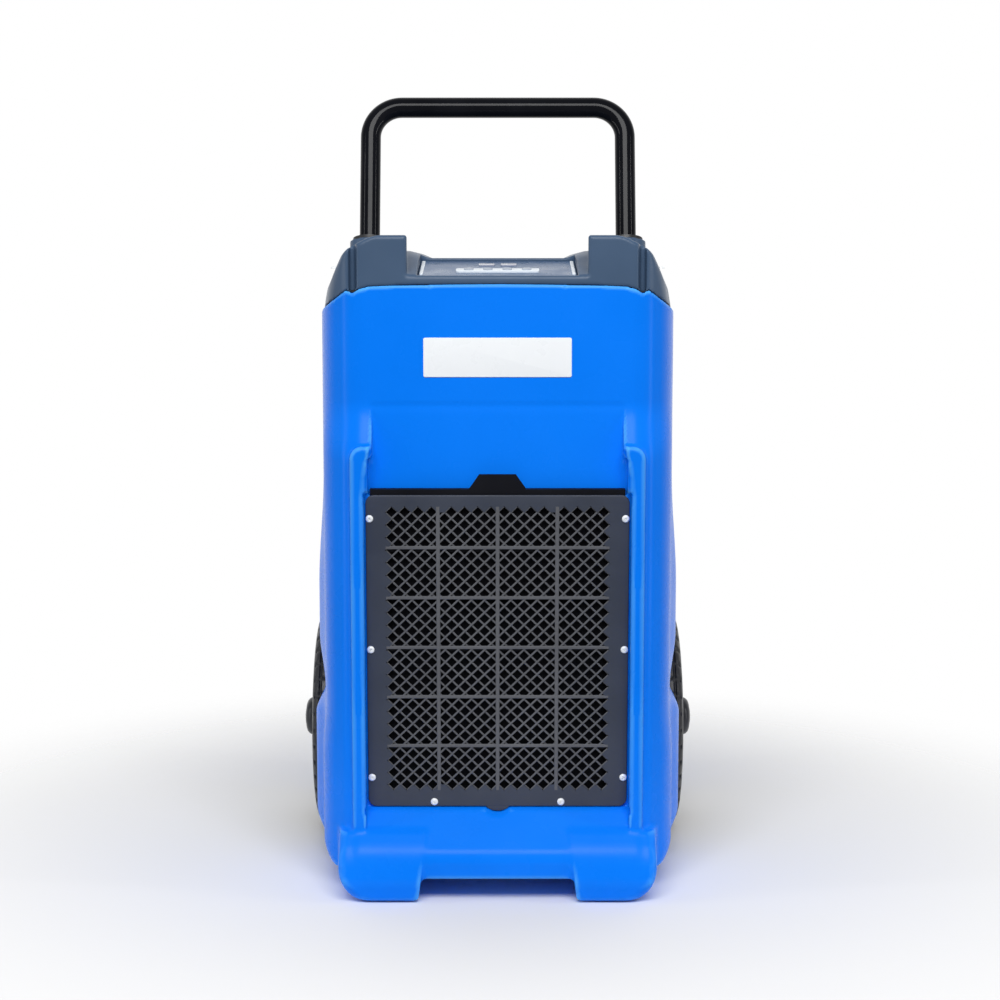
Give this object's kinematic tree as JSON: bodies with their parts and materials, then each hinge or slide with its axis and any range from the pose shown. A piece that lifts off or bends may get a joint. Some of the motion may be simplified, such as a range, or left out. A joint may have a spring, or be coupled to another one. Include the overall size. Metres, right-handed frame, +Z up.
{
  "type": "commercial dehumidifier",
  "caption": "Upright wheeled dehumidifier with moulded housing, leaning intake grille, pull-out filter, rear duct collar and telescopic handle.",
  "frame": {"origin": "on the floor, under the middle of the machine's bounding box", "axes": "+X to the right seen from the front, -Y to the front, +Z up"},
  "size_m": [0.542, 0.54, 1.0146],
  "materials": {
    "blue_shell": "moulded polyethylene, fine orange-peel",
    "grey_cover": "moulded polyethylene, fine texture",
    "seal_rubber": "matt",
    "zinc_screw": "bright zinc",
    "grille_black": "satin injection moulded",
    "filter_plastic": "satin",
    "filter_net": "woven nylon net",
    "plate_white": "blank printed plate",
    "panel_film": "satin membrane film",
    "bezel_white": "satin",
    "button_grey": "satin",
    "display_lens": "smoked lens",
    "circuit_board": "solder mask",
    "handle_black": "gloss powder coat",
    "nylon_black": "nylon",
    "zinc_steel": "zinc plated",
    "tyre_rubber": "semi-gloss",
    "rim_black": "satin",
    "bush_nylon": "natural nylon",
    "coil_aluminium": "fin stock",
    "galvanised": "galvanised sheet",
    "tray_abs": "vacuum formed",
    "compressor_black": "satin enamel",
    "copper_pipe": "drawn copper",
    "hose_clear": "silicone"
  },
  "bodies": {
    "housing": {"body_shell": "blue_shell", "top_cover": "grey_cover", "cover_gasket": "seal_rubber", "cover_screws": "zinc_screw", "front_grille": "grille_black", "grille_screws": "zinc_screw", "name_plate": "plate_white", "control_panel": "panel_film", "button_bezel": "bezel_white", "display_window": "display_lens", "display_board": "circuit_board", "guide_sleeves": "zinc_steel", "sleeve_bushes": "nylon_black", "axle": "zinc_steel", "split_pins": "zinc_steel", "axle_washers": "zinc_steel", "axle_brackets": "zinc_steel", "foot_pads": "seal_rubber", "base_pan": "galvanised", "evaporator_coil": "coil_aluminium", "condenser_coil": "coil_aluminium", "coil_frame": "galvanised", "drip_tray": "tray_abs", "bulkhead": "galvanised", "fan_ring": "nylon_black", "motor_bracket": "galvanised", "fan_motor": "compressor_black", "duct_collar": "nylon_black", "outlet_guard": "zinc_steel", "compressor": "compressor_black", "compressor_grommets": "seal_rubber", "accumulator": "compressor_black", "suction_line": "copper_pipe", "discharge_line": "copper_pipe", "liquid_line": "copper_pipe", "filter_drier": "copper_pipe", "condensate_pump": "tray_abs", "pump_hose": "hose_clear", "drain_outlet": "nylon_black", "power_inlet": "nylon_black", "electronics_box": "galvanised", "control_board": "circuit_board", "run_capacitor": "zinc_steel"},
    "handle": {"handle_tube": "handle_black", "handle_glides": "nylon_black"},
    "filter": {"filter_frame": "filter_plastic", "filter_mesh": "filter_net"},
    "fan": {"fan_impeller": "nylon_black"},
    "wheel_left": {"tyre_left": "tyre_rubber", "rim_left": "rim_black", "wheel_bush_left": "bush_nylon", "hub_cap_left": "rim_black"},
    "wheel_right": {"tyre_right": "tyre_rubber", "rim_right": "rim_black", "wheel_bush_right": "bush_nylon", "hub_cap_right": "rim_black"},
    "button_power": {"button_power": "button_grey"},
    "button_mode": {"button_mode": "button_grey"},
    "button_down": {"button_down": "button_grey"},
    "button_up": {"button_up": "button_grey"}
  },
  "joints": [
    {"name": "wheel_left_spin", "type": "hinge", "parent": "housing", "child": "wheel_left", "pos_m": [-0.2285, 0.118, 0.15], "axis": [1, 0, 0], "continuous": true},
    {"name": "wheel_right_spin", "type": "hinge", "parent": "housing", "child": "wheel_right", "pos_m": [0.2285, 0.118, 0.15], "axis": [1, 0, 0], "continuous": true},
    {"name": "handle_slide", "type": "slide", "parent": "housing", "child": "handle", "axis": [0, 0.2588, 0.9659], "range_m": [-0.14, 0]},
    {"name": "filter_pull", "type": "slide", "parent": "housing", "child": "filter", "axis": [0, -0.0506, 0.9987], "range_m": [0, 0.39]},
    {"name": "fan_spin", "type": "hinge", "parent": "housing", "child": "fan", "pos_m": [0, 0.2, 0.43], "axis": [0, 1, 0], "continuous": true},
    {"name": "button_power_press", "type": "slide", "parent": "housing", "child": "button_power", "axis": [0, 0.1633, -0.9866], "range_m": [0, 0.0012], "stiffness_N_per_m": 900, "springref_m": -0.001},
    {"name": "button_mode_press", "type": "slide", "parent": "housing", "child": "button_mode", "axis": [0, 0.1633, -0.9866], "range_m": [0, 0.0012], "stiffness_N_per_m": 900, "springref_m": -0.001},
    {"name": "button_down_press", "type": "slide", "parent": "housing", "child": "button_down", "axis": [0, 0.1633, -0.9866], "range_m": [0, 0.0012], "stiffness_N_per_m": 900, "springref_m": -0.001},
    {"name": "button_up_press", "type": "slide", "parent": "housing", "child": "button_up", "axis": [0, 0.1633, -0.9866], "range_m": [0, 0.0012], "stiffness_N_per_m": 900, "springref_m": -0.001}
  ]
}
